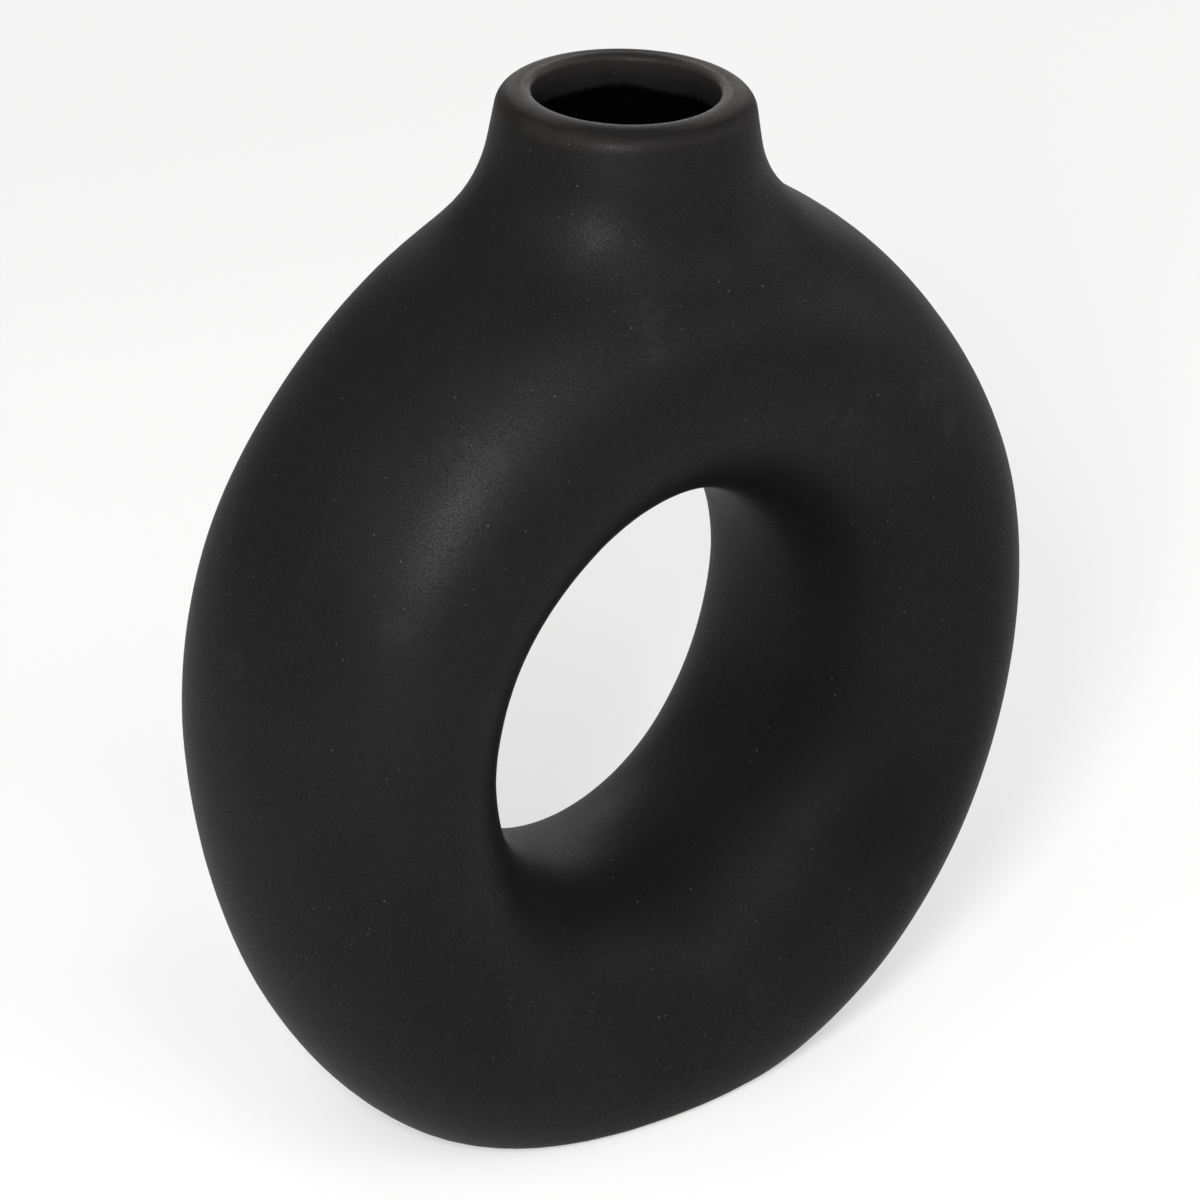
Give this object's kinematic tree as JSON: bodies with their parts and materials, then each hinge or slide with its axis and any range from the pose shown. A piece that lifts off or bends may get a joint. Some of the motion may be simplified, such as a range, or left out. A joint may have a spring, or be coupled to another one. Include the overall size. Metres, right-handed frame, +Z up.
{
  "type": "donut vase",
  "caption": "Upright ring-shaped ceramic vase in matt black, with an oval-section hollow ring, a round central hole, a short flared neck with an open mouth and a flat foot.",
  "frame": {"origin": "middle of the foot, on the surface that the vase stands on", "axes": "+Z up through the mouth, +X along the width of the ring, the front face looks along -Y"},
  "size_m": [0.1896, 0.0822, 0.22],
  "materials": {
    "black_ceramic": "satin matt black coat over fired clay",
    "black_slip": "sponged slip under the same black coat"
  },
  "bodies": {
    "root": {"front_shell": "black_ceramic", "rear_shell": "black_ceramic", "neck": "black_ceramic", "foot_slab": "black_ceramic", "outer_seam": "black_slip", "hole_seam": "black_slip", "neck_seam": "black_slip", "foot_seam": "black_slip"}
  },
  "joints": []
}
